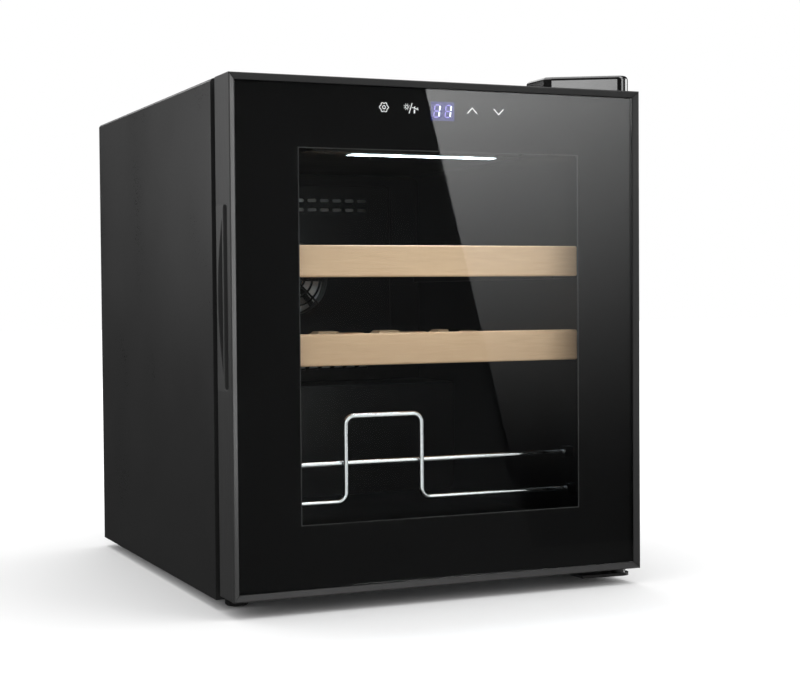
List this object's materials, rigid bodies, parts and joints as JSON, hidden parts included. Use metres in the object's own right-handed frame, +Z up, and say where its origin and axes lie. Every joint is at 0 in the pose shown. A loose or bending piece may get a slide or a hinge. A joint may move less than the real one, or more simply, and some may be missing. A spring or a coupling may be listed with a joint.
{
  "type": "wine cooler",
  "caption": "Free-standing wine cooler with a framed glass door, sliding beech shelves, a wire bottle rack and touch controls.",
  "frame": {"origin": "on the floor at the middle of the footprint", "axes": "+Z up, the door faces -Y, +X towards the hinged side"},
  "size_m": [0.43, 0.48, 0.51],
  "materials": {
    "cabinet_paint": "fine satin powder coat, near black",
    "door_frame": "satin dark grey",
    "galvanised_steel": "dull zinc",
    "hinge_steel": "zinc plated",
    "black_hinge_steel": "black powder coat",
    "zinc_fastener": "zinc plated",
    "copper_tube": "drawn copper, slightly dulled",
    "aluminium_plate": "plain roll-bonded plate",
    "spacer_aluminium": "satin",
    "chrome_wire": "polished chrome",
    "compressor_paint": "gloss black enamel",
    "foam": "rigid polyurethane foam",
    "liner_plastic": "black, lightly grained",
    "black_plastic": "black moulded",
    "grip_plastic": "dark grey moulded, fine texture",
    "gloss_black_plastic": "gloss black",
    "printed_black": "black ceramic print behind glass",
    "door_glass": "clear tempered glass",
    "display_face": "dark blue display window with white digits",
    "lamp_light": "frosted lens, cool white light",
    "circuit_board": "green board",
    "rubber": "black",
    "gasket_vinyl": "soft black vinyl",
    "magnet_rubber": "ferrite filled",
    "beech": "pale beech, clear satin lacquer"
  },
  "bodies": {
    "root": {"outer_shell": "cabinet_paint", "base_pan": "galvanised_steel", "compartment_wall": "galvanised_steel", "back_panel": "cabinet_paint", "condenser_coil": "copper_tube", "foam_insulation": "foam", "inner_liner": "liner_plastic", "drain_tube": "liner_plastic", "duct_cover": "liner_plastic", "fan_frame": "black_plastic", "evaporator_plate": "aluminium_plate", "lamp_housing": "liner_plastic", "lamp_lens": "lamp_light", "led_strip": "lamp_light", "temperature_sensor": "black_plastic", "compressor": "compressor_paint", "compressor_grommets": "rubber", "compressor_bolts": "zinc_fastener", "relay_cover": "black_plastic", "drip_tray": "black_plastic", "filter_drier": "copper_tube", "refrigerant_pipes": "copper_tube", "control_box": "black_plastic", "control_board": "circuit_board", "control_box_lid": "black_plastic", "rear_cover": "cabinet_paint", "cord_gland": "rubber", "rear_feet": "black_plastic", "top_hinge_bracket": "hinge_steel", "hinge_pins": "hinge_steel", "hinge_cover": "gloss_black_plastic", "bottom_hinge_bracket": "black_hinge_steel", "cabinet_screws": "zinc_fastener", "wire_rack": "chrome_wire", "rack_clips": "liner_plastic"},
    "door": {"door_frame_top": "door_frame", "door_frame_bottom": "door_frame", "door_frame_left": "door_frame", "door_frame_right": "door_frame", "corner_keys": "black_plastic", "hinge_bushes": "black_plastic", "door_grip": "grip_plastic", "front_glass": "door_glass", "printed_border": "printed_black", "spacer_bar": "spacer_aluminium", "inner_glass": "door_glass", "inner_frame": "black_plastic", "door_gasket": "gasket_vinyl", "magnet_strips": "magnet_rubber", "touch_board": "circuit_board", "display_module": "display_face"},
    "upper_shelf": {"upper_shelf_front_board": "beech", "upper_shelf_side_rails": "beech", "upper_shelf_slats": "beech"},
    "lower_shelf": {"lower_shelf_front_board": "beech", "lower_shelf_side_rails": "beech", "lower_shelf_slats": "beech"},
    "fan_rotor": {"fan_rotor": "black_plastic"},
    "left_foot": {"left_foot": "black_plastic"},
    "right_foot": {"right_foot": "black_plastic"}
  },
  "joints": [
    {"name": "door_hinge", "type": "hinge", "parent": "root", "child": "door", "pos_m": [0.203, -0.218, 0.2545], "axis": [0, 0, 1], "range_deg": [0, 115]},
    {"name": "upper_shelf_slide", "type": "slide", "parent": "root", "child": "upper_shelf", "axis": [0, -1, 0], "range_m": [0, 0.131]},
    {"name": "lower_shelf_slide", "type": "slide", "parent": "root", "child": "lower_shelf", "axis": [0, -1, 0], "range_m": [0, 0.131]},
    {"name": "fan_spin", "type": "hinge", "parent": "root", "child": "fan_rotor", "pos_m": [0, 0.18, 0.3135], "axis": [0, -1, 0], "continuous": true},
    {"name": "left_foot_turn", "type": "hinge", "parent": "root", "child": "left_foot", "pos_m": [-0.188, -0.167, 0.01], "axis": [0, 0, 1], "continuous": true},
    {"name": "right_foot_turn", "type": "hinge", "parent": "root", "child": "right_foot", "pos_m": [0.188, -0.167, 0.01], "axis": [0, 0, 1], "continuous": true}
  ],
  "couplings": [
    {"joint": "upper_shelf_slide", "follows": "door_hinge", "m_per_rad": 0.065},
    {"joint": "lower_shelf_slide", "follows": "door_hinge", "m_per_rad": 0.065}
  ]
}
